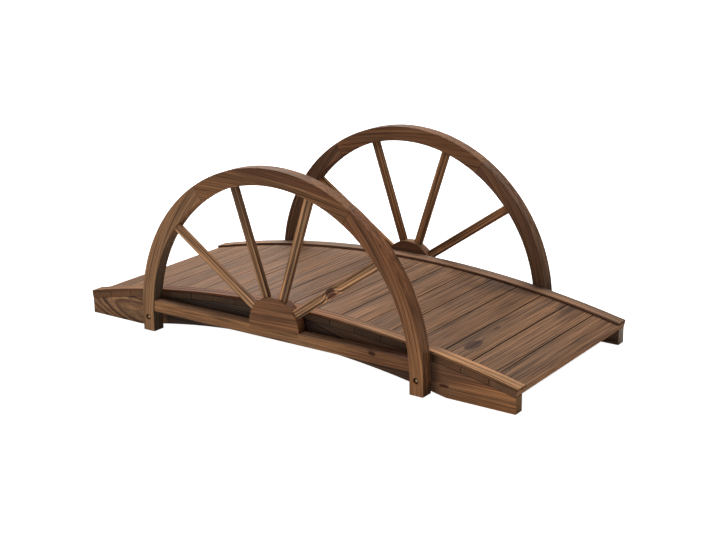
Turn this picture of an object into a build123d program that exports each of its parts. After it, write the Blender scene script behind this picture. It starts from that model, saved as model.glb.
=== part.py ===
# A small arched garden bridge with half a wagon wheel on each side.
# X runs along the deck, Y across it, Z up. The ground is z = 0, and the origin is under the
# middle of the deck. The front wheel is at -Y and the back wheel at +Y.
import math
import os

from build123d import *

# Stringers, the two arched beams that carry the deck.
stringer_length = 1320.0
stringer_thickness = 30.0
stringer_end_height = 41.0
deck_rise = 76.0
foot_length = 182.0
arch_rise = 50.0
stringer_easing = 1.5

# Deck boards, laid across the stringers.
deck_width = 568.0
board_count = 18
board_thickness = 14.0
board_gap = 1.0
board_easing = 1.2

# Kerbs, the thin laths on top of the board ends.
kerb_width = 36.0
kerb_thickness = 7.0
kerb_setback = 2.0
kerb_easing = 1.5

# Half wheels that stand beside the deck. Each opening is drawn about a point a little lower than
# the rim's centre, so the rim is wider at its crown than at its legs, and more so in front.
wheel_radius = 438.0
wheel_centre_height = 51.0
wheel_thickness = 36.0
rim_width = 38.0
front_opening_drop = 5.0
back_opening_drop = 1.5
leg_clearance = 3.5
crown_half_angle = 33.0
rim_easing = 2.0

# The rail between a wheel's legs, and the half-round hub on it.
rail_bottom_height = 58.0
rail_height = 30.0
rail_setback = 4.0
rail_easing = 1.5
hub_radius = 78.0
hub_easing = 1.5

# Spokes, flat laths nearer to the wheel's outside, given by their angle above the rail.
spoke_width = 24.0
spoke_depth = 10.0
spoke_setback = 8.0
spoke_easing = 2.0
spoke_angles = (145.5, 108.5, 71.5, 34.5)

# Bolts that hold each leg to its stringer.
bolt_height = 41.0
bolt_diameter = 8.0
bolt_recess_depth = 7.0
bolt_recess_clearance = 1.25
bolt_head_diameter = 12.5
bolt_head_height = 5.0
bolt_head_easing = 1.8
nut_across_corners = 15.0
nut_thickness = 6.5

# The deck's arc: its radius comes from the chord of the stringers and the rise of the crown.
half_length = stringer_length / 2
deck_radius = (half_length**2 + deck_rise**2) / (2 * deck_rise)
deck_centre = (0, stringer_end_height + deck_rise - deck_radius)
deck_half_angle = math.degrees(math.asin(half_length / deck_radius))
deck_start_angle = 90 - deck_half_angle
board_top_radius = deck_radius + board_thickness
kerb_top_radius = board_top_radius + kerb_thickness

# Places across the bridge, measured out from its middle.
half_width = deck_width / 2
wheel_middle = half_width + wheel_thickness / 2
wheel_outside = half_width + wheel_thickness

# Places on a wheel, as seen from the side.
wheel_centre = (0, wheel_centre_height)
opening_radius = wheel_radius - rim_width
rim_blank_radius = opening_radius - rim_width
leg_middle = wheel_radius - rim_width / 2
rail_top_height = rail_bottom_height + rail_height
rail_thickness = wheel_thickness - 2 * rail_setback
spoke_middle = wheel_outside - spoke_setback - spoke_depth / 2
hub_centre = (0, rail_top_height)

bolt_recess_radius = bolt_head_diameter / 2 + bolt_recess_clearance

sides = {"front": -1, "back": 1}
opening_drops = {"front": front_opening_drop, "back": back_opening_drop}
ends = {"left": -1, "right": 1}


def upright_plane(middle, thickness):
    """The side-view plane on which a piece of this thickness is drawn and extruded."""
    return Plane.XZ.offset(-middle - thickness / 2)


def ring_sector(centre, inner_radius, outer_radius, start_angle, sweep_angle):
    """A stretch of a flat ring, as a face to add to a side-view sketch."""
    with BuildSketch() as sector:
        with BuildLine():
            inner = CenterArc(centre, inner_radius, start_angle, sweep_angle)
            outer = CenterArc(centre, outer_radius, start_angle, sweep_angle)
            Line(inner @ 0, outer @ 0)
            Line(inner @ 1, outer @ 1)
        make_face()
    return sector.sketch


def save(piece, name):
    piece.label = name
    export_step(piece, f"parts/{name}.step")


os.makedirs("parts", exist_ok=True)

# Deck boards, each a slice of the deck's arc.
gap_angle = math.degrees(board_gap / deck_radius)
board_angle = (2 * deck_half_angle - (board_count - 1) * gap_angle) / board_count
for number in range(board_count):
    start_angle = 90 + deck_half_angle - board_angle - number * (board_angle + gap_angle)
    with BuildPart() as board:
        with BuildSketch(upright_plane(0, deck_width)):
            add(ring_sector(deck_centre, deck_radius, board_top_radius, start_angle, board_angle))
        extrude(amount=deck_width)
        top_face = board.faces().sort_by(Axis.Z)[-1]
        fillet(top_face.edges().filter_by(Axis.Y), board_easing)
    save(board.part, f"deck_board_{number + 1:02d}")

for side, outward in sides.items():
    # Stringer: two flat feet, a shallow arch between them and the deck's curve on top.
    stringer_middle = outward * (half_width - stringer_thickness / 2)
    with BuildPart() as stringer:
        with BuildSketch(upright_plane(stringer_middle, stringer_thickness)):
            with BuildLine():
                arch_foot = half_length - foot_length
                Line((-half_length, 0), (-arch_foot, 0))
                ThreePointArc((-arch_foot, 0), (0, arch_rise), (arch_foot, 0))
                Line((arch_foot, 0), (half_length, 0))
                Line((half_length, 0), (half_length, stringer_end_height))
                CenterArc(deck_centre, deck_radius, deck_start_angle, 2 * deck_half_angle)
                Line((-half_length, stringer_end_height), (-half_length, 0))
            make_face()
        extrude(amount=stringer_thickness)
        fillet(stringer.edges().filter_by(Axis.Z), stringer_easing)
        for along in ends.values():
            bolt_seat = Plane((along * leg_middle, outward * half_width, bolt_height), z_dir=(0, outward, 0))
            with Locations(bolt_seat):
                Hole(bolt_diameter / 2)
    save(stringer.part, f"{side}_stringer")

    # Kerb: a thin lath that follows the deck along the board ends.
    kerb_middle = outward * (half_width - kerb_setback - kerb_width / 2)
    with BuildPart() as kerb:
        with BuildSketch(upright_plane(kerb_middle, kerb_width)):
            add(ring_sector(deck_centre, board_top_radius, kerb_top_radius, deck_start_angle, 2 * deck_half_angle))
        extrude(amount=kerb_width)
        top_face = kerb.faces().sort_by(Axis.Z)[-1]
        fillet(top_face.edges(), kerb_easing)
    save(kerb.part, f"{side}_kerb")

    # The clear space inside the wheel's rim and legs, which the felloes, rail and spokes are cut to.
    opening_centre_height = wheel_centre_height - opening_drops[side]
    with BuildSketch() as wheel_opening:
        with Locations((0, opening_centre_height)):
            Circle(opening_radius)
        with Locations((0, leg_clearance)):
            Rectangle(2 * opening_radius, opening_centre_height - leg_clearance, align=(Align.CENTER, Align.MIN))

    # Wheel rim: a crown felloe between two quarter felloes that run down into the legs.
    rim_plane = upright_plane(outward * wheel_middle, wheel_thickness)
    with BuildPart() as crown:
        with BuildSketch(rim_plane):
            add(ring_sector(wheel_centre, rim_blank_radius, wheel_radius, 90 - crown_half_angle, 2 * crown_half_angle))
            add(wheel_opening.sketch, mode=Mode.SUBTRACT)
        extrude(amount=wheel_thickness)
        fillet(crown.edges().filter_by(GeomType.CIRCLE), rim_easing)
    save(crown.part, f"{side}_wheel_crown_felloe")

    for end, along in ends.items():
        with BuildPart() as felloe:
            with BuildSketch(rim_plane):
                add(ring_sector(wheel_centre, rim_blank_radius, wheel_radius, 0, 90 - crown_half_angle))
                with Locations((0, leg_clearance)):
                    Rectangle(wheel_radius, wheel_centre_height - leg_clearance, align=(Align.MIN, Align.MIN))
                add(wheel_opening.sketch, mode=Mode.SUBTRACT)
                if along < 0:
                    mirror(about=Plane.YZ, mode=Mode.REPLACE)
            extrude(amount=wheel_thickness)
            long_edges = felloe.edges().filter_by(GeomType.CIRCLE) + felloe.edges().filter_by(Axis.Z)
            fillet(long_edges, rim_easing)
            recess = Plane((along * leg_middle, outward * wheel_outside, bolt_height), z_dir=(0, outward, 0))
            with Locations(recess):
                CounterBoreHole(bolt_diameter / 2, bolt_recess_radius, bolt_recess_depth)
        save(felloe.part, f"{side}_wheel_{end}_felloe")

        # Bolt: head on the floor of the leg's recess, nut on the inner face of the stringer.
        recess_floor = Plane(
            (along * leg_middle, outward * (wheel_outside - bolt_recess_depth), bolt_height), z_dir=(0, outward, 0)
        )
        grip_length = wheel_thickness - bolt_recess_depth + stringer_thickness
        with BuildPart() as bolt:
            with BuildSketch(recess_floor):
                Circle(bolt_head_diameter / 2)
            extrude(amount=bolt_head_height)
            fillet(bolt.faces().sort_by(Axis.Y)[0 if outward < 0 else -1].edges(), bolt_head_easing)
            with BuildSketch(recess_floor):
                Circle(bolt_diameter / 2)
            extrude(amount=-grip_length)
            with BuildSketch(recess_floor.offset(-grip_length)):
                RegularPolygon(nut_across_corners / 2, 6)
            extrude(amount=-nut_thickness)
        save(bolt.part, f"{side}_{end}_bolt")

    # Rail between the legs, cut at both ends to the inside of the rim.
    rail_plane = upright_plane(outward * wheel_middle, rail_thickness)
    with BuildPart() as rail:
        with BuildSketch(rail_plane):
            with Locations((0, rail_bottom_height)):
                Rectangle(2 * wheel_radius, rail_height, align=(Align.CENTER, Align.MIN))
            add(wheel_opening.sketch, mode=Mode.INTERSECT)
        extrude(amount=rail_thickness)
        fillet(rail.edges().filter_by(Axis.X), rail_easing)
    save(rail.part, f"{side}_wheel_rail")

    # Hub: half a disc that stands on the middle of the rail.
    with BuildPart() as hub:
        with BuildSketch(rail_plane):
            with BuildLine():
                hub_arc = CenterArc(hub_centre, hub_radius, 0, 180)
                Line(hub_arc @ 0, hub_arc @ 1)
            make_face()
        extrude(amount=rail_thickness)
        fillet(hub.edges().filter_by(GeomType.CIRCLE), hub_easing)
    save(hub.part, f"{side}_wheel_hub")

    # Spokes: laths from the hub out to the inside of the rim.
    for number, angle in enumerate(spoke_angles, start=1):
        with BuildPart() as spoke:
            with BuildSketch(upright_plane(outward * spoke_middle, spoke_depth)):
                with Locations(Location(hub_centre, angle)):
                    Rectangle(2 * wheel_radius, spoke_width, align=(Align.MIN, Align.CENTER))
                add(wheel_opening.sketch, mode=Mode.INTERSECT)
                with Locations(hub_centre):
                    Circle(hub_radius, mode=Mode.SUBTRACT)
            extrude(amount=spoke_depth)
            spoke_line = Axis((0, 0, 0), Vector(1, 0, 0).rotate(Axis.Y, -angle))
            fillet(spoke.edges().filter_by(spoke_line), spoke_easing)
        save(spoke.part, f"{side}_wheel_spoke_{number}")
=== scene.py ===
# %% [markdown]
# # A garden bridge with half a wagon wheel on each side
# The shapes of this bridge come from a CAD model, and this lesson dresses them in Blender.
# Every length is in metres. X runs along the deck, Y across it, Z up, and the ground is z = 0.
# The CAD pieces stay where they are: they get finishes, and some give way to finer pieces.

# %% Load the fixed frame
import math
from collections import namedtuple

import bpy
from mathutils import Matrix, Vector


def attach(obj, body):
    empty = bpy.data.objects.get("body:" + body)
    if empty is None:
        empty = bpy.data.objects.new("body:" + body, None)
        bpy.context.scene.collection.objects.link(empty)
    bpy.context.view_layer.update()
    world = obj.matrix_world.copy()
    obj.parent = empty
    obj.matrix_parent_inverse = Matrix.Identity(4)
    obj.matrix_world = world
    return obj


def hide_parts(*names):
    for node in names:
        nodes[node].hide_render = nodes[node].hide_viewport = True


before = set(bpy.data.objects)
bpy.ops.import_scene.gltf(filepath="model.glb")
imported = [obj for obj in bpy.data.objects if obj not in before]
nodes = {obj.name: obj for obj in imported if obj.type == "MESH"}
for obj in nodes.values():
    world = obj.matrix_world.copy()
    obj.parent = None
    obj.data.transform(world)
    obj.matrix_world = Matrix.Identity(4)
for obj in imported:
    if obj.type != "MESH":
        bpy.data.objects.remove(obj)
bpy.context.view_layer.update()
Corner = namedtuple("Corner", "x y z")


def box_of(name):
    """The lowest and the highest corner of the box round a CAD piece, to the micrometre."""
    piece = nodes[name]
    corners = [piece.matrix_world @ Vector(corner) for corner in piece.bound_box]
    low = Corner(*[round(min(places), 6) for places in zip(*corners)])
    high = Corner(*[round(max(places), 6) for places in zip(*corners)])
    return low, high


# %% [markdown]
# ## The camera
# A camera is a place and three directions: to its right, up, and backwards from its view.
# The angles were worked out from where known corners of the bridge lie in the picture.
# The lens is given as its focal length in pixels, turned into millimetres of a 36 mm wide film.

# %% Camera
view_azimuth = math.radians(35.316)
view_elevation = math.radians(17.027)
view_roll = math.radians(-0.801)
view_distance = 3.5728
view_target = Vector((0.0336, 0.0, 0.1619))
image_width = 716
focal_pixels = 1367.9
film_width = 36.0

view_back = Vector((
    math.sin(view_azimuth) * math.cos(view_elevation),
    -math.cos(view_azimuth) * math.cos(view_elevation),
    math.sin(view_elevation),
))
level_right = Vector((math.cos(view_azimuth), math.sin(view_azimuth), 0.0))
level_up = view_back.cross(level_right)
view_right = math.cos(view_roll) * level_right + math.sin(view_roll) * level_up
view_up = math.cos(view_roll) * level_up - math.sin(view_roll) * level_right

camera = bpy.data.objects.new("view_camera", bpy.data.cameras.new("view_camera"))
camera.data.sensor_fit = "HORIZONTAL"
camera.data.sensor_width = film_width
camera.data.lens = film_width * focal_pixels / image_width
camera_turn = Matrix((view_right, view_up, view_back)).transposed().to_4x4()
camera.matrix_world = Matrix.Translation(view_target + view_distance * view_back) @ camera_turn
bpy.context.scene.collection.objects.link(camera)
bpy.context.scene.camera = camera
print(f"camera at {tuple(camera.location)}, lens {camera.data.lens:.1f} mm")

# %% [markdown]
# ## Node trees in a few words
# A procedural finish is a sum: this noise times that mask plus a little of another.
# The class below wraps one socket of a node tree, so that such a sum can be written as a sum.
# Each operator adds the Math node that works it out, and one method adds any other node.


# %% A socket that can be reckoned with
class Shade:
    """One socket of a node tree."""

    def __init__(self, tree, socket):
        self.tree = tree
        self.socket = socket

    def node(self, kind, settings=None, sockets=None, result=0):
        """Adds a node: its settings come first, then the values or links of its sockets."""
        made = self.tree.nodes.new(kind)
        for setting, value in (settings or {}).items():
            setattr(made, setting, value)
        for key, value in (sockets or {}).items():
            if isinstance(value, Shade):
                self.tree.links.new(value.socket, made.inputs[key])
            else:
                made.inputs[key].default_value = value
        return Shade(self.tree, made.outputs[result])

    def maths(self, operation, first, second=0.0):
        """The result of a Math node on one or two numbers."""
        return self.node("ShaderNodeMath", {"operation": operation}, {0: first, 1: second})

    def __add__(self, other):
        return self.maths("ADD", self, other)

    def __radd__(self, other):
        return self.maths("ADD", other, self)

    def __sub__(self, other):
        return self.maths("SUBTRACT", self, other)

    def __rsub__(self, other):
        return self.maths("SUBTRACT", other, self)

    def __mul__(self, other):
        return self.maths("MULTIPLY", self, other)

    def __rmul__(self, other):
        return self.maths("MULTIPLY", other, self)

    def __truediv__(self, other):
        return self.maths("DIVIDE", self, other)

    def __pow__(self, other):
        return self.maths("POWER", self, other)

    def __abs__(self):
        return self.maths("ABSOLUTE", self)

    def vector(self, operation, other, result=0):
        """Vector Math of this vector with another."""
        return self.node("ShaderNodeVectorMath", {"operation": operation}, {0: self, 1: other}, result)

    def length(self):
        """How long this vector is."""
        return self.node("ShaderNodeVectorMath", {"operation": "LENGTH"}, {0: self}, "Value")

    def parts(self):
        """The three numbers of this vector."""
        split = self.node("ShaderNodeSeparateXYZ", None, {0: self}).socket.node
        return [Shade(self.tree, output) for output in split.outputs]

    def combine(self, x=0.0, y=0.0, z=0.0):
        """A vector of three numbers."""
        return self.node("ShaderNodeCombineXYZ", None, {"X": x, "Y": y, "Z": z})

    def smooth(self, start, end):
        """0 below start, 1 above end, and an easy slope between."""
        sockets = {"Value": self, "From Min": start, "From Max": end}
        return self.node("ShaderNodeMapRange", {"interpolation_type": "SMOOTHSTEP"}, sockets)

    def noise(self, scale, detail=2.0, roughness=0.5):
        """Noise on this vector, with its own number of blotches per metre in each direction."""
        sockets = {"Vector": self.vector("MULTIPLY", scale), "Scale": 1.0}
        sockets.update({"Detail": detail, "Roughness": roughness})
        return self.node("ShaderNodeTexNoise", None, sockets)

    def blend(self, first, second):
        """This number, from 0 to 1, takes the first colour over to the second."""
        return self.node("ShaderNodeMix", {"data_type": "RGBA"}, {0: self, 6: first, 7: second}, 2)

    def tinted(self, other):
        """This colour multiplied by a colour or by a number."""
        settings = {"data_type": "RGBA", "blend_type": "MULTIPLY"}
        return self.node("ShaderNodeMix", settings, {0: 1.0, 6: self, 7: other}, 2)


print("shades can be added, multiplied and blended")


# %% Materials
def new_finish(name):
    """A new material, its shader, and the place and facing of the surface that patterns read."""
    finish = bpy.data.materials.new(name)
    finish.use_nodes = True
    tree = finish.node_tree
    shader = tree.nodes["Principled BSDF"]
    coordinates = tree.nodes.new("ShaderNodeTexCoord")
    place = Shade(tree, coordinates.outputs["Object"])
    facing = Shade(tree, coordinates.outputs["Normal"])
    return finish, shader, place, facing


def feed(shader, **sockets):
    """Links shades to the shader's sockets, which are named with _ for a space."""
    for name, shade in sockets.items():
        shade.tree.links.new(shade.socket, shader.inputs[name.replace("_", " ")])


def from_middle(first, second):
    """How far a point with these two coordinates is from the middle."""
    return (first * first + second * second) ** 0.5


print("helpers for materials are ready")

# %% [markdown]
# ## Floor
# A product picture is taken on a white sheet that throws light back up at the object.
# The sheet curves up far behind the object, all round, so a low view sees no edge of it.
# It is made as rings of points: a flat disc, and round it a cove that climbs a quarter circle.

# %% Shape of the white sheet
flat_reach = 12.0
cove_radius = 8.0
cove_steps = 8
sheet_sides = 64

sheet_points = [(0.0, 0.0, 0.0)]
for level in range(cove_steps + 1):
    climb = math.pi / 2 * level / cove_steps
    reach = flat_reach + cove_radius * math.sin(climb)
    height = cove_radius * (1 - math.cos(climb))
    for step in range(sheet_sides):
        turn = 2 * math.pi * step / sheet_sides
        sheet_points.append((reach * math.cos(turn), reach * math.sin(turn), height))
sheet_faces = [(0, 1 + step, 1 + (step + 1) % sheet_sides) for step in range(sheet_sides)]
for level in range(cove_steps):
    low = 1 + level * sheet_sides
    high = low + sheet_sides
    for step in range(sheet_sides):
        after = (step + 1) % sheet_sides
        sheet_faces.append((low + step, high + step, high + after, low + after))
floor_mesh = bpy.data.meshes.new("floor")
floor_mesh.from_pydata(sheet_points, [], sheet_faces)
floor = bpy.data.objects.new("floor", floor_mesh)
bpy.context.scene.collection.objects.link(floor)
print(f"white sheet, {2 * flat_reach:.0f} m across before it curves up")

# %% [markdown]
# The sheet glows white by itself, and it throws no light and no shadow. The light that a real sheet
# throws back comes from lamps under it instead, because their strength can be set side by side.

# %% Finish of the white sheet
sheet_clouds = (0.8, 0.8, 0.8)
sheet_dull = (0.84, 0.84, 0.84, 1)
sheet_clean = (0.88, 0.88, 0.88, 1)
sheet_glow = 1.0

floor_finish, floor_shader, floor_place, _ = new_finish("white_sheet")
sheet_cloud = floor_place.noise(sheet_clouds)
feed(floor_shader, Base_Color=sheet_cloud.blend(sheet_dull, sheet_clean))
floor_shader.inputs["Roughness"].default_value = 0.9
floor_shader.inputs["Specular IOR Level"].default_value = 0.1
floor_shader.inputs["Emission Color"].default_value = (1, 1, 1, 1)
floor_shader.inputs["Emission Strength"].default_value = sheet_glow
floor_mesh.materials.append(floor_finish)
floor.visible_diffuse = False
floor.visible_glossy = False
floor.visible_shadow = False
print(f"the sheet is seen at strength {sheet_glow}")

# %% [markdown]
# ## Light
# Two softboxes behind the bridge light its upper faces, and a weaker one hangs before it.
# Large boxes give soft shadows, as on a clouded day, and the room adds next to nothing.

# %% Softboxes
bpy.context.scene.view_settings.view_transform = "Standard"
room = bpy.data.worlds.new("studio")
room.use_nodes = True
room.node_tree.nodes["Background"].inputs["Color"].default_value = (0.03, 0.03, 0.032, 1)
bpy.context.scene.world = room


def softbox(name, place, aim, width, height, power):
    """A rectangular lamp at a place, turned to its aim."""
    lamp = bpy.data.lights.new(name, "AREA")
    lamp.shape = "RECTANGLE"
    lamp.size = width
    lamp.size_y = height
    lamp.energy = power
    box = bpy.data.objects.new(name, lamp)
    box.location = place
    box.rotation_euler = (Vector(aim) - Vector(place)).to_track_quat("-Z", "Y").to_euler()
    box.visible_camera = False
    bpy.context.scene.collection.objects.link(box)


bridge_middle = (0.0, 0.0, 0.1)
bridge_top = (0.0, 0.0, 0.2)
softbox("back_softbox", (0.0, 1.6, 2.2), bridge_middle, width=2.0, height=1.5, power=38.0)
softbox("left_softbox", (-1.8, 1.6, 1.4), bridge_top, width=1.6, height=1.2, power=28.0)
softbox("front_softbox", (0.0, -1.6, 2.2), bridge_middle, width=2.0, height=1.5, power=13.0)
print("three softboxes hang round the bridge")

# %% [markdown]
# Four lamps that look up from under the floor stand for the bright parts of the sheet. The strongest
# is to the right, because the right end of the bridge is its brightest.

# %% Light from the sheet
under_sheet = -0.02
over_sheet = 1.0


def bright_part(name, x, y, width, height, power):
    """A lamp under the floor that looks straight up, as a bright part of the sheet would."""
    softbox(name, (x, y, under_sheet), (x, y, over_sheet), width, height, power)


bright_part("sheet_front_left", x=-1.35, y=-1.4, width=1.7, height=1.6, power=11.0)
bright_part("sheet_front", x=0.0, y=-1.4, width=1.0, height=1.6, power=6.0)
bright_part("sheet_near", x=0.0, y=-0.47, width=1.6, height=0.27, power=1.0)
bright_part("sheet_right", x=1.75, y=0.1, width=1.7, height=1.4, power=26.0)
print("four bright parts of the sheet light it from below")

# %% [markdown]
# ## Stained fir
# Every wooden piece was sawn out of a log, so the finish is built as a log and not as a picture.
# Growth rings are cylinders about the log's heart, and each one ends in a dark line of late wood.
# A flat sawn face then shows arches, a side face shows lines and a sawn end shows rings by itself.


# %% Growth rings
def late_wood_at(radius, ring):
    """How much late wood there is this far from the log's heart. No two years are alike."""
    years = radius / ring
    uneven = years.node("ShaderNodeTexNoise", {"noise_dimensions": "1D"}, {"W": years * 0.37, "Scale": 1.0})
    years = years + (uneven - 0.5) * 2.2
    season = years.maths("FRACT", years)
    year = years.maths("FLOOR", years)
    mood = years.node("ShaderNodeTexWhiteNoise", {"noise_dimensions": "1D"}, {"W": year})
    return season.smooth(0.2, 0.85) * (1 - season.smooth(0.88, 1.0)) * (0.3 + 0.7 * mood)


print("growth rings are ready")

# %% [markdown]
# A knot is the foot of a branch: a dark core in a thin ring of bark. It could be a dark spot alone,
# but the trunk's rings grew round the branch. So a knot here also pushes the rings outwards.

# %% Knots
Knot = namedtuple("Knot", "centre stretch radius dark")
knot_edges = (70.0, 160.0, 160.0)


def grown_round_knots(radius, place, log, ring, knots):
    """The rings' radius with the knots' push, and the knots' cores and rings of bark."""
    ragged = log.noise(knot_edges)
    cores = barks = None
    for knot in knots:
        reach = place.vector("SUBTRACT", knot.centre).vector("MULTIPLY", knot.stretch).length() / knot.radius
        radius = radius + (1 - reach.smooth(0.0, 2.6)) * (1.6 * ring)
        reach = reach + (ragged - 0.5) * 0.7
        core = (1 - reach.smooth(0.6, 1.0)) * knot.dark
        bark = (1 - abs(reach - 0.9).smooth(0.05, 0.25)) * (0.35 + 0.4 * knot.dark)
        cores = core if cores is None else core.maths("MAXIMUM", cores, core)
        barks = bark if barks is None else bark.maths("MAXIMUM", barks, bark)
    return radius, cores, barks


print("knots are ready")

# %% [markdown]
# The finish adds up from the log: slow and quick noises bend the rings, and long thin noises make
# streaks, fibres and hairs. Sawn ends drink more stain than faces, so they come out darker.
# A last step, the touch, adds what is special to a piece, such as dirty joints, a worn end, painted
# shade and a painted sheen.

# %% Stained fir
# Blotches per metre: along the log, across it and into it.
slow_bends = (1.3, 9.0, 9.0)
quick_bends = (6.0, 40.0, 40.0)
streaks = (1.8, 80.0, 80.0)
fibres = (4.0, 420.0, 420.0)
hairs = (1.2, 330.0, 330.0)
blotches = (3.5, 24.0, 24.0)

# What a colour is multiplied by.
cooler = (0.97, 1.0, 1.04, 1)
warmer = (1.03, 1.0, 0.96, 1)
heartwood = (0.68, 0.6, 0.62, 1)
stained_end = (0.52, 0.5, 0.5, 1)
knot_core = (0.34, 0.26, 0.27, 1)
knot_bark = (0.3, 0.25, 0.26, 1)


def stained_fir(name, into_log, grain, early, late, ring=0.006, bold=0.4, streaky=0.5, fine=0.6, lined=0.3,
                patchy=0.5, wander=0.006, heart=0.0, knots=(), touch=None):
    """Wood whose log lies along X in the coordinates that into_log makes of a place.

    A ring of this width goes from the early colour to the late one, as far as bold says. Streaky, fine,
    lined and patchy are how strongly streaks, fibres, hairs and blotches show. The rings wander this far,
    and inside the heart's radius the wood is darker.
    """
    finish, shader, place, facing = new_finish(name)
    log = into_log(place)
    _, across, deep = log.parts()
    lazy = log.noise(slow_bends)
    brisk = log.noise(quick_bends)
    radius = from_middle(across, deep) + (lazy - 0.5) * (2 * wander) + (brisk - 0.5) * (0.5 * wander)
    if knots:
        radius, cores, barks = grown_round_knots(radius, place, log, ring, knots)
    late_wood = late_wood_at(radius, ring)
    boldness = bold(place) if callable(bold) else bold
    colour = (late_wood * boldness).blend(early, late)
    if heart:
        broad_face = abs(facing.parts()[1]).smooth(0.5, 0.9)
        inside = (1 - radius.smooth(heart - 0.002, heart + 0.002)) * broad_face
        colour = inside.blend(colour, colour.tinted(heartwood))

    streak = log.noise(streaks, 5.0, 0.75)
    fibre = log.noise(fibres, 3.0, 0.7)
    hair = log.noise(hairs, 2.0).smooth(0.53, 0.7)
    blotch = log.noise(blotches, 3.0)
    sawn_end = abs(facing.vector("DOT_PRODUCT", grain, "Value")).smooth(0.9, 0.99)
    lines = (streak - 0.5) * (5 * streaky) + (fibre - 0.5) * (4 * fine)
    patches = (blotch + lazy - 1) * patchy
    shade = 1 + (lines - hair * lined) * (1 - 0.7 * sawn_end) + patches
    colour = colour.tinted(shade.maths("MAXIMUM", shade, 0.25))
    colour = colour.tinted(blotch.smooth(0.35, 0.65).blend(cooler, warmer))
    colour = (sawn_end * 0.85).blend(colour, colour.tinted(stained_end))
    if knots:
        colour = cores.blend(colour, colour.tinted(knot_core))
        colour = barks.blend(colour, colour.tinted(knot_bark))
    if touch is not None:
        colour = touch(colour, place, facing)

    relief = {"Strength": 0.3, "Distance": 0.0008, "Height": late_wood + fibre}
    bump = colour.node("ShaderNodeBump", None, relief)
    feed(shader, Base_Color=colour, Roughness=0.45 + 0.3 * streak, Normal=bump)
    shader.inputs["Specular IOR Level"].default_value = 0.14
    return finish


print("stained fir is ready")

# %% [markdown]
# A piece's log can lie straight, at any angle to the piece, or it can bend round a centre.
# A bent log is reckoned in its own way: along its arc, across it and out from it.

# %% Logs
along_x = (1.0, 0.0, 0.0)
across_y = (0.0, 1.0, 0.0)
upright = (0.0, 0.0, 1.0)


def straight_log(turn, shift):
    """Coordinates of a log that is turned and shifted against the piece that is sawn from it."""
    def into_log(place):
        return place.node("ShaderNodeMapping", None, {"Vector": place, "Rotation": turn, "Location": shift})
    return into_log


def bent_log(centre, radius, shift):
    """Coordinates of a log whose grain bends round a centre that is given by its X and Z."""
    def into_log(place):
        x, y, z = place.parts()
        right = x - centre[0]
        up = z - centre[1]
        out = from_middle(right, up) - radius
        along = right.maths("ARCTAN2", right, up) * radius
        return place.combine(along, y, out).vector("ADD", shift)
    return into_log


def dress(finish, name):
    """Gives a finish to a CAD piece."""
    nodes[name].material_slots[0].material = finish


print("logs are ready")

# %% [markdown]
# ## The deck's arc
# Boards, kerbs and stringers all follow one arc. Its radius comes from the stringers' length and
# from how far the deck rises, as in the CAD model. Painted shade darkens the deck's sides between
# the legs, on boards and stringers alike.
# Lengths that a piece's box shows are measured on it. The others are those of the CAD model.

# %% The deck's arc
half_length = box_of("back_stringer")[1].x
half_width = box_of("back_stringer")[1].y
end_height = 0.041
deck_rise = 0.076
board_thickness = 0.014
deck_radius = (half_length**2 + deck_rise**2) / (2 * deck_rise)
deck_centre_height = end_height + deck_rise - deck_radius
deck_half_angle = math.asin(half_length / deck_radius)


def above_stringers(place):
    """How far a place is above the arc on which the boards lie."""
    x, y, z = place.parts()
    return from_middle(x, z - deck_centre_height) - deck_radius


def painted_shade_between_legs(colour, place, painted_shade_tint):
    """Painted shade on the bridge's sides between the legs and just past the right ones."""
    x, y, z = place.parts()
    between = x.smooth(-0.41, -0.38) * (1 - x.smooth(0.443, 0.468))
    outside = abs(y).smooth(half_width - 0.005, half_width - 0.002)
    return (between * outside).blend(colour, colour.tinted(painted_shade_tint))


print(f"deck radius {deck_radius:.3f} m, half angle {math.degrees(deck_half_angle):.2f} degrees")

# %% [markdown]
# ## Geometry nodes
# Boards and bolts repeat, and a tree of geometry nodes can make any number of them from one.
# Its sizes are named inputs, and its sums are written with the same class as the finishes.
# The result is turned into a plain mesh, and the tree isn't needed any more after that.


# %% A tree of geometry nodes
def new_tree(name, sizes):
    """A geometry tree to add nodes to, and its inputs by their names."""
    tree = bpy.data.node_groups.new(name, "GeometryNodeTree")
    tree.interface.new_socket("Geometry", in_out="OUTPUT", socket_type="NodeSocketGeometry")
    for size, kind in sizes.items():
        tree.interface.new_socket(size, in_out="INPUT", socket_type=f"NodeSocket{kind}")
    given = tree.nodes.new("NodeGroupInput")
    return Shade(tree, None), {size: Shade(tree, given.outputs[size]) for size in sizes}


def end_tree(plan, geometry, finish):
    """Gives the finish to the geometry and makes it the tree's result."""
    painted = plan.node("GeometryNodeSetMaterial", None, {"Geometry": geometry, "Material": finish})
    result = plan.tree.nodes.new("NodeGroupOutput")
    plan.tree.links.new(painted.socket, result.inputs["Geometry"])
    print(f"{plan.tree.name}: {len(plan.tree.nodes)} nodes")


print("geometry trees can be begun and ended")

# %% From a tree to a mesh
sharpest_smooth_angle = math.radians(30)


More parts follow.
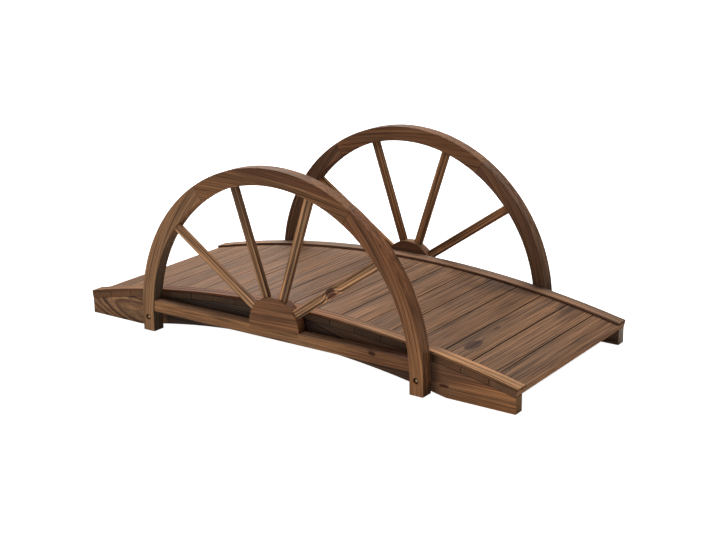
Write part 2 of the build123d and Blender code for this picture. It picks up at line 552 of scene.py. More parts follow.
def grown_mesh(name, plan, values):
    """Runs a tree with these input values and returns the result as a plain mesh object."""
    seed = bpy.data.objects.new(name + "_seed", bpy.data.meshes.new(name + "_seed"))
    bpy.context.scene.collection.objects.link(seed)
    modifier = seed.modifiers.new("grow", "NODES")
    modifier.node_group = plan.tree
    for item in plan.tree.interface.items_tree:
        if item.in_out == "INPUT" and item.name in values:
            modifier[item.identifier] = values[item.name]
    depsgraph = bpy.context.evaluated_depsgraph_get()
    mesh = bpy.data.meshes.new_from_object(
        seed.evaluated_get(depsgraph), preserve_all_data_layers=True, depsgraph=depsgraph
    )
    mesh.name = name
    bpy.data.objects.remove(seed)
    mesh.set_sharp_from_angle(angle=sharpest_smooth_angle)
    piece = bpy.data.objects.new(name, mesh)
    bpy.context.scene.collection.objects.link(piece)
    return piece


print("a tree can be grown into a mesh")

# %% [markdown]
# ## Deck boards
# Eighteen planed boards lie side by side across the arch, with a small gap between each two.
# A board is a rounded section that is swept along a line. Each of its points stores its own place
# on the board, so that the finish can find the board's edges wherever the board is laid.

# %% One board
corner_steps = 4

board_plan, size = new_tree("lay_boards", {
    "Count": "Int",
    "Length": "Float",
    "Width": "Float",
    "Thickness": "Float",
    "Easing": "Float",
    "Arc radius": "Float",
    "Arc centre height": "Float",
    "Step": "Float",
    "Seed": "Int",
    "Finish": "Material",
})


def store(geometry, name, kind, domain, value):
    """Stores a value under a name with each point or instance of the geometry."""
    sockets = {"Geometry": geometry, "Name": name, "Value": value}
    return geometry.node("GeometryNodeStoreNamedAttribute", {"data_type": kind, "domain": domain}, sockets)


section = board_plan.node("GeometryNodeCurvePrimitiveQuadrilateral", None,
                          {"Width": size["Width"], "Height": size["Thickness"]})
rounded = board_plan.node("GeometryNodeFilletCurve", {"mode": "POLY"},
                          {"Curve": section, "Count": corner_steps, "Radius": size["Easing"],
                           "Limit Radius": True})
near_end = board_plan.combine(y=size["Length"] * -0.5)
far_end = board_plan.combine(y=size["Length"] * 0.5)
line = board_plan.node("GeometryNodeCurvePrimitiveLine", None, {"Start": near_end, "End": far_end})
board = board_plan.node("GeometryNodeCurveToMesh", None,
                        {"Curve": line, "Profile Curve": rounded, "Fill Caps": True})
board = store(board, "own_place", "FLOAT_VECTOR", "POINT", board_plan.node("GeometryNodeInputPosition"))
print(f"one board in {len(board_plan.tree.nodes)} nodes")

# %% [markdown]
# An instance of the board goes to each seat on the arc, tilted with it. No two real boards are
# planed to quite the same size, so each instance is made a very little smaller by chance.

# %% Lay the boards on the arc
smallest_board = (0.994, 0.997, 1.0)
largest_board = (1.0, 1.0, 1.0)

number = board_plan.node("GeometryNodeInputIndex")
angle = (number - (size["Count"] - 1.0) * 0.5) * size["Step"]
middle_radius = size["Arc radius"] + size["Thickness"] * 0.5
seat_x = angle.maths("SINE", angle) * middle_radius
seat_z = angle.maths("COSINE", angle) * middle_radius + size["Arc centre height"]
seats = board_plan.node("GeometryNodePoints", None,
                        {"Count": size["Count"], "Position": board_plan.combine(x=seat_x, z=seat_z)})
turn = board_plan.node("FunctionNodeEulerToRotation", None, {0: board_plan.combine(y=angle)})
shorter = board_plan.node("FunctionNodeRandomValue", {"data_type": "FLOAT_VECTOR"},
                          {"Min": smallest_board, "Max": largest_board, "Seed": size["Seed"]})
laid = board_plan.node("GeometryNodeInstanceOnPoints", None,
                       {"Points": seats, "Instance": board, "Rotation": turn, "Scale": shorter})
laid = store(laid, "board", "INT", "INSTANCE", number)
laid = board_plan.node("GeometryNodeRealizeInstances", None, {"Geometry": laid})
print(f"boards laid in {len(board_plan.tree.nodes)} nodes")

# %% [markdown]
# Neighbouring boards come from different logs. Each board therefore draws, by its number, where
# it sat in its log, and every point stores its own place there for the finish to read.

# %% Remember each board's log
nearest_seat = (-0.07, 0.0, 0.03)
farthest_seat = (0.07, 9.0, 0.12)

which = board_plan.node("GeometryNodeInputNamedAttribute", {"data_type": "INT"}, {"Name": "board"})
spot = board_plan.node("GeometryNodeInputNamedAttribute", {"data_type": "FLOAT_VECTOR"},
                       {"Name": "own_place"})
log_seat = board_plan.node("FunctionNodeRandomValue", {"data_type": "FLOAT_VECTOR"},
                           {"Min": nearest_seat, "Max": farthest_seat, "ID": which, "Seed": size["Seed"]})
laid = store(laid, "in_log", "FLOAT_VECTOR", "POINT", spot.vector("ADD", log_seat))
end_tree(board_plan, laid, size["Finish"])

# %% [markdown]
# The deck is walked on and rained on. Its boards differ in tone, their joints are dirty, the deck is
# darker in patches by the far kerb, and one board has a large knot. The last board's right edge has a
# painted highlight, and the board ends between the legs have painted shade. The mask for each mark
# is a product of slopes along X, Y or the board's own width, so that no picture has to be painted.

# %% Marks on the deck
board_count = 18
board_gap = 0.001
board_width = (2 * deck_half_angle * deck_radius - (board_count - 1) * board_gap) / board_count
first_dark_board = 14
last_dark_board = 16
joint_dirt = (0.03, 0.018, 0.011, 1)


def stored(place, name, result="Vector"):
    """What the boards' tree stored under a name."""
    return place.node("ShaderNodeAttribute", {"attribute_name": name}, None, result)


def board_marks(colour, place, facing):
    """A tone for each board, dirty joints, darker patches by the far kerb, a painted highlight on the
    last board's right edge, and painted shade on the ends between the legs.
    Three boards near the right end are from a darker plank."""
    x, y, z = place.parts()
    facing_x, facing_y, facing_z = facing.parts()
    number = stored(place, "board", "Fac")
    tone = place.node("ShaderNodeTexWhiteNoise", {"noise_dimensions": "1D"}, {"W": number + 0.5})
    after_first = number.smooth(first_dark_board - 0.6, first_dark_board - 0.4)
    dark_plank = after_first * (1 - number.smooth(last_dark_board + 0.4, last_dark_board + 0.6))
    colour = colour.tinted(0.88 + 0.24 * tone - 0.13 * dark_plank)

    across = stored(place, "own_place").parts()[0]
    in_joint = abs(across).smooth(board_width / 2 - 0.0008, board_width / 2 - 0.0002)
    within_deck = 1 - abs(x).smooth(half_length - 0.015, half_length - 0.01)
    in_joint = in_joint * within_deck * (1 - abs(facing_y).smooth(0.5, 0.9))
    colour = in_joint.blend(colour, joint_dirt)

    # Darker, bluer patches on the deck next to the far kerb.
    dark_patches_by_far_kerb = y.smooth(0.12, 0.22) * x.smooth(0.1, 0.25) * (1 - x.smooth(0.5, 0.6))
    dark_patches_by_far_kerb = dark_patches_by_far_kerb * place.noise((11.0, 8.0, 8.0)).smooth(0.4, 0.55)
    colour = dark_patches_by_far_kerb.blend(colour, colour.tinted((0.56, 0.56, 0.61, 1)))
    # A painted highlight: the right side of the last board is lighter, as if lit from the right.
    lit_last_edge = x.smooth(0.59, 0.6) * (1 - facing_z.smooth(0.3, 0.7))
    colour = lit_last_edge.blend(colour, colour.tinted((1.3, 1.32, 1.4, 1)))
    # Painted shade on the board ends between the legs.
    return painted_shade_between_legs(colour, place, (0.44, 0.49, 0.56, 1))


print(f"boards of {1000 * board_width:.1f} mm")


# %% Deck finish
def board_log(place):
    """The board's own place in its log, with the log's length brought round to X."""
    across, along, deep = stored(place, "in_log").parts()
    return place.combine(along, across, deep)


def bolder_to_the_left(place):
    """How dark the late wood is: the left boards show it most."""
    return 0.38 - 0.17 * place.parts()[0].smooth(-0.1, 0.35)


deck_knots = (
    Knot(centre=(0.4766, -0.161, 0.092), stretch=(1.0, 0.34, 0.0), radius=0.012, dark=1.0),
    Knot(centre=(0.467, -0.03, 0.092), stretch=(1.0, 0.25, 0.0), radius=0.004, dark=0.6),
)
deck_finish = stained_fir("deck_fir", board_log, across_y, (0.4, 0.2, 0.095, 1), (0.12, 0.056, 0.03, 1),
                          ring=0.005, bold=bolder_to_the_left, streaky=0.25, fine=1.3, lined=0.6,
                          patchy=0.25, wander=0.004, knots=deck_knots, touch=board_marks)
print(f"{deck_finish.name} of {len(deck_finish.node_tree.nodes)} nodes")

# %% Boards
board_easing = 0.0012
board_seed = 5

deck = grown_mesh("deck_boards", board_plan, {
    "Count": board_count,
    "Length": 2 * half_width,
    "Width": board_width,
    "Thickness": board_thickness,
    "Easing": board_easing,
    "Arc radius": deck_radius,
    "Arc centre height": deck_centre_height,
    "Step": (board_width + board_gap) / deck_radius,
    "Seed": board_seed,
    "Finish": deck_finish,
})
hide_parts(*[f"deck_board_{number:02d}" for number in range(1, board_count + 1)])
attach(deck, "root")
print(f"{board_count} boards, {len(deck.data.polygons)} faces")

# %% [markdown]
# ## Kerbs
# A kerb is a thin lath that is bent along the board ends, so its log is reckoned round the deck's arc.
# Feet and weather wear it: it is pale where it is rubbed. Painted shade darkens the foot of its inner
# face and its outer edge, and its cut ends are stained dark, with a painted shadow at their foot.

# %% Painted shade and stained ends on a kerb
kerb_inside = box_of("back_kerb")[0].y
kerb_outside = box_of("back_kerb")[1].y
kerb_easing = 0.0015
edge_line = 0.0002


def shaded_edges_and_ends(colour, place, facing):
    """Painted shade along the foot of a kerb's inner face and on its outer edge.
    Its cut ends are stained dark, with a painted shadow at their foot.
    """
    x, y, z = place.parts()
    height = above_stringers(place) - board_thickness
    # Painted shade at the foot of the inner face, where the kerb meets the boards.
    inner = 1 - abs(y).smooth(kerb_inside + edge_line, kerb_inside + kerb_easing)
    inner = inner * (1 - height.smooth(0.001, 0.006) * x.smooth(-0.4, -0.3))
    # Painted shade on the outer edge and the outer face.
    outer = abs(y).smooth(kerb_outside - kerb_easing, kerb_outside - edge_line)
    colour = inner.blend(colour, colour.tinted((0.4, 0.38, 0.38, 1)))
    colour = outer.blend(colour, colour.tinted((0.34, 0.33, 0.36, 1)))
    # Cut ends stained dark, with a painted shadow at their foot.
    cut = abs(facing.parts()[0]).smooth(0.8, 0.95)
    cut_tone = height.smooth(0.0005, 0.003).blend((0.12, 0.11, 0.11, 1), (0.42, 0.4, 0.4, 1))
    return cut.blend(colour, colour.tinted(cut_tone))


print(f"kerbs from {1000 * kerb_inside:.0f} to {1000 * kerb_outside:.0f} mm off the middle")


# %% Kerb finishes
def paler_to_the_right(colour, place, facing):
    """The near lath is darkest just past the left leg, and pales from there to its worn right end.
    Its inner edge is darker."""
    x, y, z = place.parts()
    tone = x.smooth(-0.36, -0.14).blend((0.46, 0.34, 0.25, 1), (0.78, 0.56, 0.36, 1))
    tone = x.smooth(-0.47, -0.42).blend((0.9, 0.86, 0.8, 1), tone)
    tone = x.smooth(0.02, 0.28).blend(tone, (0.98, 0.96, 0.87, 1))
    tone = x.smooth(0.38, 0.5).blend(tone, (1.72, 1.76, 1.64, 1))
    inner_edge = 1 - abs(y).smooth(kerb_inside + kerb_easing, kerb_inside + kerb_easing + 0.002)
    tone = inner_edge.blend(tone, (0.45, 0.42, 0.4, 1))
    return shaded_edges_and_ends(colour.tinted(tone), place, facing)


def greyer_outside(colour, place, facing):
    """The far lath is paler at its left end and just past the wheel. Its outer part is greyer, and its
    inner face is painted in shade."""
    x, y, z = place.parts()
    tone = x.smooth(-0.3, -0.1).blend((1.5, 1.58, 1.68, 1), (1.3, 1.32, 1.38, 1))
    tone = x.smooth(-0.05, 0.15).blend(tone, (1.2, 1.22, 1.28, 1))
    tone = x.smooth(0.42, 0.5).blend(tone, (1.5, 1.5, 1.48, 1))
    tone = x.smooth(0.52, 0.64).blend(tone, (1.2, 1.22, 1.26, 1))
    outer_part = y.smooth(0.264, 0.272)
    tone = outer_part.blend(tone, tone.tinted((0.66, 0.72, 0.8, 1)))
    # Painted shade on the inner face.
    shaded_inner_face = 1 - y.smooth(kerb_inside + edge_line, kerb_inside + kerb_easing)
    tone = shaded_inner_face.blend(tone, tone.tinted((0.78, 0.84, 0.98, 1)))
    return shaded_edges_and_ends(colour.tinted(tone), place, facing)


kerb_bend = ((0.0, deck_centre_height), deck_radius + board_thickness)
front_kerb = stained_fir("front_kerb_fir", bent_log(*kerb_bend, (3.0, 0.40, 0.02)), along_x,
                         (0.58, 0.29, 0.14, 1), (0.10, 0.046, 0.024, 1), ring=0.010, bold=0.55,
                         streaky=0.6, fine=1.0, wander=0.002, touch=paler_to_the_right)
back_kerb = stained_fir("back_kerb_fir", bent_log(*kerb_bend, (7.0, -0.14, 0.03)), along_x,
                        (0.42, 0.225, 0.12, 1), (0.12, 0.058, 0.032, 1), ring=0.012, bold=0.8,
                        streaky=0.5, wander=0.003, touch=greyer_outside)
dress(front_kerb, "front_kerb")
dress(back_kerb, "back_kerb")
print("kerbs dressed")

# %% [markdown]
# ## Stringers
# The stringers are the arched beams under the deck, sawn from wide planks.
# Near its left end the near one's log swings away from the sawn face, so the rings come out
# there as arches. Elsewhere its heart lies close behind the face, and the lines run lengthwise.


# %% Near stringer's log
def swinging_log(place):
    """A log whose heart swings inwards and up at the left end, and sinks towards the right."""
    x, y, z = place.parts()
    swing = x.maths("MAXIMUM", -0.35 - x, 0.0)
    behind = y + 0.314 + 0.335 * (swing * swing)
    above = z - 0.02 - 0.45 * (swing * swing) + 0.06 * x.smooth(0.0, 0.3)
    return place.combine(x, behind, above)


def bold_at_the_left(place):
    """How dark the late wood is: strong arches at the left end, fainter lines at the right."""
    return 0.95 - 0.7 * place.parts()[0].smooth(-0.3, 0.45)


print("the near stringer's log is ready")


# %% Marks on the stringers
def stringer_marks(colour, place, facing):
    """Painted shade between the legs and under the boards, and a right end that is palest at its foot."""
    x, y, z = place.parts()
    along = x.smooth(0.45, 0.6).blend((0.95, 0.95, 1.0, 1), (1.25, 1.15, 1.05, 1))
    right_end = x.smooth(0.3, 0.4).blend((1.0, 1.0, 1.0, 1), along)
    above_pale = z - 0.11 * (x - 0.44)
    lower = above_pale.smooth(0.022, 0.04).blend((1.16, 1.1, 1.04, 1), (0.66, 0.62, 0.64, 1))
    left_end = x.smooth(-0.62, -0.5).blend((1.1, 1.12, 1.15, 1), (0.86, 0.9, 0.94, 1))
    colour = colour.tinted(right_end).tinted(x.smooth(-0.1, 0.1).blend(left_end, lower))
    cut = facing.parts()[0].smooth(0.9, 0.99)
    colour = cut.blend(colour, colour.tinted((1.15, 1.35, 1.45, 1)))
    # Painted shade in a thin line just under the boards.
    shade_under_boards = above_stringers(place).smooth(-0.0025, -0.0008)
    colour = shade_under_boards.blend(colour, colour.tinted((0.42, 0.38, 0.38, 1)))
    # Tints of the painted shade between the legs, darkest at the left.
    painted_shade_tint = x.smooth(-0.35, -0.25).blend((0.19, 0.22, 0.28, 1), (0.27, 0.34, 0.48, 1))
    painted_shade_tint = x.smooth(0.05, 0.3).blend(painted_shade_tint, (0.52, 0.56, 0.61, 1))
    return painted_shade_between_legs(colour, place, painted_shade_tint)


def far_stringer_marks(colour, place, facing):
    """The far stringer shows only its right end: a side painted in shade,
    and a cut face that is bleached grey.
    """
    # Painted shade on the far stringer.
    colour = colour.tinted((0.65, 0.74, 0.88, 1))
    cut = facing.parts()[0].smooth(0.9, 0.99)
    colour = cut.blend(colour, colour.tinted((3.6, 5.0, 6.6, 1)))
    # Painted shade on the far stringer's side between the legs.
    return painted_shade_between_legs(colour, place, (0.3, 0.36, 0.46, 1))


print("marks for the stringers are ready")

# %% Stringer finishes
stringer_early = (0.475, 0.238, 0.113, 1)
stringer_late = (0.06, 0.026, 0.022, 1)
stringer_knot = Knot(centre=(0.4727, -0.284, 0.0286), stretch=(0.35, 0.0, 1.0), radius=0.0045, dark=1.0)
front_stringer = stained_fir("front_stringer_fir", swinging_log, along_x, stringer_early, stringer_late,
                             ring=0.008, bold=bold_at_the_left, streaky=0.4, wander=0.003,
                             knots=(stringer_knot,), touch=stringer_marks)
back_stringer = stained_fir("back_stringer_fir", straight_log((0.0, 0.02, 0.05), (4.0, -0.2, -0.02)), along_x,
                            stringer_early, stringer_late, ring=0.009, bold=0.8, touch=far_stringer_marks)
dress(front_stringer, "front_stringer")
dress(back_stringer, "back_stringer")
print("stringers dressed")

# %% [markdown]
# ## Wheel rims
# A rim is glued up from three felloes. Each was sawn from a plank whose grain bends a little,
# so the grain lies level in the crown and comes down steeply in the two felloes with the legs.
# A glue line shows where two felloes meet, and painted shade darkens the wood round each bolt's recess.

# %% Marks on the rims
wheel_centre_height = 0.051
recess_radius = 0.0075
bolt_low, bolt_high = box_of("back_right_bolt")
bolt_along = (bolt_low.x + bolt_high.x) / 2
bolt_height = (bolt_low.z + bolt_high.z) / 2
joint_angle = math.radians(57.0)
seam_half_width = 0.0009
glue_line = (0.02, 0.012, 0.008, 1)


def from_bolt(place):
    """How far a place is from the line through the middle of the bolt at its end."""
    x, y, z = place.parts()
    return from_middle(abs(x) - bolt_along, z - bolt_height)


def rim_marks(colour, place, facing):
    """A dark line on the joints between felloes, painted shade round the bolts and on the near rim's
    right-facing faces, and a painted sheen on the near rim's top.
    """
    x, y, z = place.parts()
    facing_x, facing_y, facing_z = facing.parts()
    near = 1 - y.smooth(-0.1, 0.0)
    # Painted shade on the near rim's faces that look to the right, darkest on the left felloe.
    shaded_right_faces = facing_x.smooth(0.6, 1.0) * near
    painted_shade_tint = x.smooth(-0.1, 0.1).blend((0.34, 0.44, 0.58, 1), (0.7, 0.7, 0.76, 1))
    colour = shaded_right_faces.blend(colour, colour.tinted(painted_shade_tint))
    into_crown = (z - wheel_centre_height) * math.cos(joint_angle) - abs(x) * math.sin(joint_angle)
    broad_face = abs(facing_y).smooth(0.5, 0.9)
    crown_end = x.smooth(0.1, 0.2) * into_crown.smooth(0.0, 0.001) * near * broad_face
    colour = crown_end.blend(colour, colour.tinted((0.8, 0.77, 0.78, 1)))
    # A painted sheen: the near rim's top faces are lighter.
    top = facing_z.smooth(0.5, 0.9) * near
    colour = top.blend(colour, colour.tinted((1.22, 1.15, 1.05, 1)))
    # Painted shade in and round each bolt's recess.
    clear_of_recess_shade = from_bolt(place).smooth(recess_radius, recess_radius + 0.0017)
    colour = clear_of_recess_shade.blend(colour.tinted((0.72, 0.62, 0.52, 1)), colour)
    on_line = 1 - abs(into_crown).smooth(0.4 * seam_half_width, seam_half_width)
    return (on_line * 0.75).blend(colour, glue_line)


def toned_rim(leg_tone, top_tone):
    """The rim's marks, on wood whose tone goes from the leg's to another at the top."""
    def touch(colour, place, facing):
        height = place.parts()[2].smooth(0.05, 0.40)
        return rim_marks(colour.tinted(height.blend((*leg_tone, 1), (*top_tone, 1))), place, facing)
    return touch


print(f"bolts {1000 * bolt_along:.0f} mm along and {1000 * bolt_height:.0f} mm up")

# %% Felloe finishes
felloe_early = (0.34, 0.172, 0.084, 1)
felloe_late = (0.12, 0.054, 0.028, 1)
left_bend = ((0.223, -0.016), 0.65)
right_bend = ((-0.223, -0.016), 0.65)
felloes = {
    "front_wheel_left_felloe": dict(
        into_log=bent_log(*left_bend, (2.0, 0.36, 0.06)), bold=0.2, streaky=0.15,
        touch=toned_rim((1.16, 1.18, 1.13), (1.0, 1.0, 0.95))),
    "front_wheel_crown_felloe": dict(
        into_log=bent_log((-0.189, -1.43), 1.9, (5.0, 0.345, -0.035)), bold=0.3, streaky=0.2, heart=0.039,
        touch=toned_rim((0.66, 0.6, 0.54), (0.88, 0.8, 0.7))),
    "front_wheel_right_felloe": dict(
        into_log=bent_log(*right_bend, (9.0, 0.36, 0.05)), bold=0.4, streaky=0.3, patchy=0.7,
        touch=toned_rim((1.2, 1.08, 0.92), (0.86, 0.68, 0.57))),
    # The far left and right felloes' tones are painted shade: darker and bluer, most of all low down.
    "back_wheel_left_felloe": dict(
        into_log=bent_log(*left_bend, (13.0, -0.25, 0.05)), bold=0.4, streaky=0.4,
        touch=toned_rim((0.66, 0.72, 0.85), (0.77, 0.78, 0.86))),
    "back_wheel_crown_felloe": dict(
        into_log=bent_log((0.1, -1.0), 1.45, (17.0, -0.36, 0.06)), bold=0.4, streaky=0.4, patchy=0.7,
        touch=toned_rim((0.92, 0.88, 0.88), (0.92, 0.88, 0.88))),
    "back_wheel_right_felloe": dict(
        into_log=bent_log(*right_bend, (21.0, -0.26, 0.04)), bold=0.4, streaky=0.4,
        touch=toned_rim((0.52, 0.6, 0.76), (0.86, 0.88, 1.0))),
}
felloe_look = dict(ring=0.009, fine=0.9, lined=0.3, patchy=0.45)
for name, own_look in felloes.items():
    grain = along_x if "crown" in name else upright
    look = felloe_look | own_look
    finish = stained_fir(f"{name}_fir", grain=grain, early=felloe_early, late=felloe_late, **look)
    dress(finish, name)
print(f"{len(felloes)} felloes dressed")

# %% [markdown]
# ## Rails and hubs
# A rail ties the legs of each wheel together, and half a disc stands on it as the hub.
# Both are cut from straight boards, so a straight log that is turned a little gives their grain.
# Light and weather set the pieces apart: a rail reddens to the right, and the far hub is bleached.


# %% Rails and hubs
def redder_to_the_right(colour, place, facing):
    """A rail whose right end is redder and darker, and whose middle goes over into the hub."""
    x, y, z = place.parts()
    tone = x.smooth(0.1, 0.34).blend((1.03, 1.01, 0.98, 1), (0.58, 0.5, 0.46, 1))
    under_hub = (1 - abs(x).smooth(0.072, 0.079)) * z.smooth(0.068, 0.085)
    colour = colour.tinted(under_hub.blend(tone, (0.74, 0.7, 0.68, 1)))
    top = facing.parts()[2].smooth(0.5, 0.9) * (1 - under_hub)
    return top.blend(colour, colour.tinted((0.95, 1.06, 1.4, 1)))


def pale_round_edge(colour, place, facing):
    """The far hub is dark on its broad face and bleached on its round edge."""
    edge = 1 - abs(facing.parts()[1]).smooth(0.3, 0.7)
    return colour.tinted(edge.blend((0.86, 1.0, 1.3, 1), (1.25, 1.5, 1.85, 1)))


rail_knot = Knot(centre=(0.294, -0.316, 0.081), stretch=(0.5, 0.0, 1.0), radius=0.005, dark=1.0)
rail_knots = {"front": (rail_knot,), "back": ()}
hub_touches = {"front": None, "back": pale_round_edge}
for side, heart, offset in (("front", 0.36, 1.0), ("back", -0.36, 6.0)):
    rail = stained_fir(f"{side}_rail_fir", straight_log((0.0, 0.01, 0.02), (offset, heart, 0.02)), along_x,
                       (0.42, 0.205, 0.09, 1), (0.13, 0.055, 0.028, 1), ring=0.009, bold=0.5, streaky=0.35,
                       patchy=0.35, knots=rail_knots[side], touch=redder_to_the_right)
    hub = stained_fir(f"{side}_hub_fir", straight_log((0.0, 0.03, 0.0), (offset + 2.0, heart, 0.05)), along_x,
                      (0.3, 0.129, 0.055, 1), (0.12, 0.046, 0.021, 1), ring=0.008, bold=0.5, streaky=0.3,
                      touch=hub_touches[side])
    dress(rail, f"{side}_wheel_rail")
    dress(hub, f"{side}_wheel_hub")
print("rails and hubs dressed")

# %% [markdown]
# ## Spokes
# The spokes are flat laths that fan out from the hub to the rim, with bold dark lines.
# Each lath has a log of its own, turned to the spoke's lean, so its grain runs along it.
# The laths differ in tone, as if they were cut from different boards.

# %% Spokes
hub_height = box_of("front_wheel_rail")[1].z
spoke_leans = (145.5, 108.5, 71.5, 34.5)
spoke_tones = (1.24, 0.64, 1.18, 1.38)
spoke_early = (0.54, 0.278, 0.131)
spoke_late = (0.045, 0.023, 0.014)


def shaded_sides(colour, place, facing):
    """A spoke's narrow sides are painted in shade, darker than its broad face."""
    side_face = 1 - abs(facing.parts()[1]).smooth(0.3, 0.7)
    return side_face.blend(colour, colour.tinted((0.55, 0.5, 0.46, 1)))


def shaded_towards_the_rim(colour, place, facing):
    """One spoke is much darker at its upper end: painted shade where it meets the rim."""
    tone = place.parts()[2].smooth(0.24, 0.4).blend((1.25, 1.22, 1.2, 1), (0.6, 0.62, 0.68, 1))
    return shaded_sides(colour.tinted(tone), place, facing)


spoke_knot = Knot(centre=(0.175, -0.312, 0.206), stretch=(1.0, 0.0, 1.0), radius=0.015, dark=1.0)
spoke_knots = {("front", 4): (spoke_knot,)}
spoke_touches = {("front", 2): shaded_towards_the_rim}
for side, heart in (("front", 0.305), ("back", -0.305)):
    for number, (degrees, tone) in enumerate(zip(spoke_leans, spoke_tones), start=1):
        lean = math.radians(degrees)
        lift = -hub_height * math.cos(lean)
        log = straight_log((0.0, lean, 0.0), (2.0 * number + 10 * heart, heart + 0.02, lift - 0.05))
        grain = (math.cos(lean), 0.0, math.sin(lean))
        early = (*[part * tone for part in spoke_early], 1)
        late = (*[part * tone for part in spoke_late], 1)
        finish = stained_fir(f"{side}_spoke_{number}_fir", log, grain, early, late, ring=0.009, bold=0.95,
                             streaky=0.8, fine=1.0, lined=0.8, wander=0.004,
                             knots=spoke_knots.get((side, number), ()),
                             touch=spoke_touches.get((side, number), shaded_sides))
        dress(finish, f"{side}_wheel_spoke_{number}")
print(f"{2 * len(spoke_leans)} spokes dressed")

# %% [markdown]
# ## Bolts
# A bolt goes through each leg into the stringer. Its head lies in a round recess.
# The CAD bolt is plain, so a finer one takes its place: a domed head on a thin washer, and on the
# inside a nut on another washer. It is lofted through rings that are round or six-sided.

# %% Rings and lofts
ring_steps = 48


def round_ring(radius, height):
    """A ring of points of this radius."""
    turns = [2 * math.pi * step / ring_steps for step in range(ring_steps)]
    return [(radius * math.cos(turn), radius * math.sin(turn), height) for turn in turns]


def six_sided_ring(flat, height):
    """A ring on a hexagon whose flats are this far from the middle."""
    ring = []
    for step in range(ring_steps):
        turn = 2 * math.pi * step / ring_steps
        from_flat = (turn + math.pi / 6) % (math.pi / 3) - math.pi / 6
        reach = flat / math.cos(from_flat)
        ring.append((reach * math.cos(turn), reach * math.sin(turn), height))
    return ring


def lofted(name, rings):
    """A closed mesh through rings, from the first to the last."""
    points = [point for ring in rings for point in ring]
    faces = [tuple(reversed(range(ring_steps)))]
    for level in range(len(rings) - 1):
        low = level * ring_steps
        high = low + ring_steps
        for step in range(ring_steps):
            after = (step + 1) % ring_steps
            faces.append((low + step, low + after, high + after, high + step))
    faces.append(tuple(range(len(points) - ring_steps, len(points))))
    mesh = bpy.data.meshes.new(name)
    mesh.from_pydata(points, [], faces)
    return mesh


print(f"rings of {ring_steps} points are ready")

# %% One bolt
# The dome's rings: radius, and height over the floor of the recess.
dome = ((0.0062, 0.0010), (0.0061, 0.0016), (0.0057, 0.0025), (0.0049, 0.0035), (0.0038, 0.0043),
        (0.0025, 0.0048), (0.0012, 0.0050))
head_height = dome[-1][1]
recess_floor = bolt_high.y - head_height
grip = recess_floor - box_of("back_stringer")[0].y
shank_radius = 0.0040
nut_flat = 0.0065
nut_end = -grip - 0.0065
inner_washer_radius = 0.0080
inner_washer_face = -grip - 0.0012
washer_radius = 0.0070
washer_thickness = 0.0010

bolt_tip = [
    round_ring(shank_radius - 0.0006, nut_end - 0.0013),
    round_ring(shank_radius, nut_end - 0.0007),
    round_ring(shank_radius, nut_end),
]
nut_and_washer = [
    six_sided_ring(nut_flat - 0.0003, nut_end),
    six_sided_ring(nut_flat, nut_end + 0.0004),
    six_sided_ring(nut_flat, inner_washer_face),
    round_ring(inner_washer_radius, inner_washer_face),
    round_ring(inner_washer_radius, -grip),
]
shank = [round_ring(shank_radius, -grip), round_ring(shank_radius, 0.0)]
head_washer = [
    round_ring(washer_radius, 0.0),
    round_ring(washer_radius, washer_thickness - 0.0002),
    round_ring(washer_radius - 0.0002, washer_thickness),
]
head = [round_ring(radius, height) for radius, height in dome]
bolt_mesh = lofted("one_bolt", bolt_tip + nut_and_washer + shank + head_washer + head)
print(f"one bolt of {len(bolt_mesh.polygons)} faces, with a grip of {1000 * grip:.0f} mm")

# %% [markdown]
# The plated steel is dull yellow. Outside the crown of the head it is painted dark, as shade in the
# recess, and the crown keeps the bright plating.
# A fine bloom makes the plating uneven, and scuffs roughen it.

# %% Bolt finish
bolt_finish, bolt_shader, bolt_place, _ = new_finish("yellow_plated_steel")
bloom = bolt_place.noise((260.0, 260.0, 260.0), 4.0)
scuff = bolt_place.noise((1500.0, 400.0, 1500.0))
plating = bloom.smooth(0.4, 0.65).blend((0.6, 0.44, 0.25, 1), (0.4, 0.28, 0.15, 1))
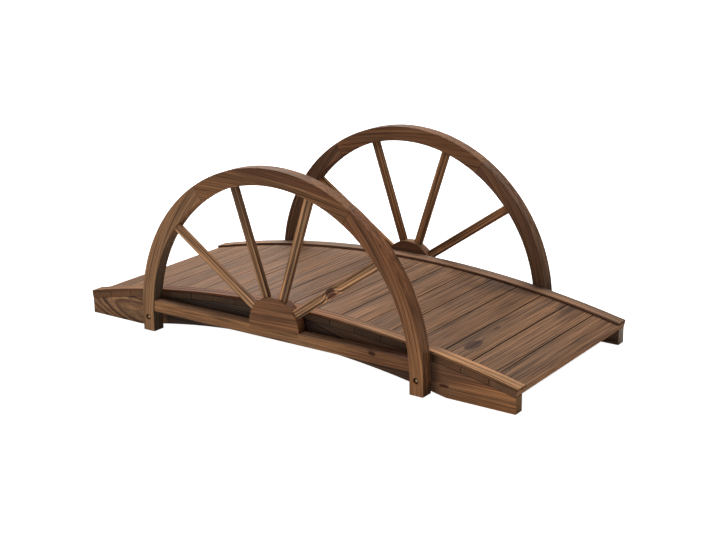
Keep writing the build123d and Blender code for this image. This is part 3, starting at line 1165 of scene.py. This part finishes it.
# Painted shade: the bolt is dark outside the crown of its head.
bolt_colour = from_bolt(bolt_place).smooth(0.0028, 0.0044).blend(plating, (0.28, 0.17, 0.08, 1))
bolt_relief = {"Strength": 0.2, "Distance": 0.0003, "Height": bloom + scuff}
bolt_bump = bloom.node("ShaderNodeBump", None, bolt_relief)
feed(bolt_shader, Base_Color=bolt_colour, Roughness=0.3 + 0.4 * bloom, Normal=bolt_bump)
bolt_shader.inputs["Metallic"].default_value = 0.6
print(f"{bolt_finish.name} of {len(bolt_finish.node_tree.nodes)} nodes")

# %% [markdown]
# The four bolts repeat, so Geometry Nodes put one at each leg, with its head to the outside.
# A bolt's number gives its end and its side: two signs, each -1 or 1, mirror the place of one bolt.

# %% Where the bolts go
bolt_count = 4

bolt_plan, size = new_tree("set_bolts", {
    "Bolt": "Object",
    "Along": "Float",
    "Out": "Float",
    "Height": "Float",
    "Finish": "Material",
})
number = bolt_plan.node("GeometryNodeInputIndex")
end_sign = number.maths("MODULO", number, 2.0) * 2.0 - 1.0
side_sign = number.maths("GREATER_THAN", number, 1.5) * 2.0 - 1.0
seat = bolt_plan.combine(end_sign * size["Along"], side_sign * size["Out"], size["Height"])
seats = bolt_plan.node("GeometryNodePoints", None, {"Count": bolt_count, "Position": seat})
head_outwards = bolt_plan.combine(x=side_sign * (-math.pi / 2))
turn = bolt_plan.node("FunctionNodeEulerToRotation", None, {0: head_outwards})
source = bolt_plan.node("GeometryNodeObjectInfo", None, {"Object": size["Bolt"]}, "Geometry")
placed = bolt_plan.node("GeometryNodeInstanceOnPoints", None,
                        {"Points": seats, "Instance": source, "Rotation": turn})
placed = bolt_plan.node("GeometryNodeRealizeInstances", None, {"Geometry": placed})
end_tree(bolt_plan, placed, size["Finish"])

# %% Set the bolts
bolt_source = bpy.data.objects.new("bolt_source", bolt_mesh)
bpy.context.scene.collection.objects.link(bolt_source)
bolts = grown_mesh("leg_bolts", bolt_plan, {
    "Bolt": bolt_source,
    "Along": bolt_along,
    "Out": recess_floor,
    "Height": bolt_height,
    "Finish": bolt_finish,
})
bpy.data.objects.remove(bolt_source)
bolts.data.polygons.foreach_set("use_smooth", [True] * len(bolts.data.polygons))
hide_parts(*[f"{side}_{end}_bolt" for side in ("front", "back") for end in ("left", "right")])
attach(bolts, "root")
print(f"{bolt_count} bolts, {len(bolts.data.polygons)} faces")
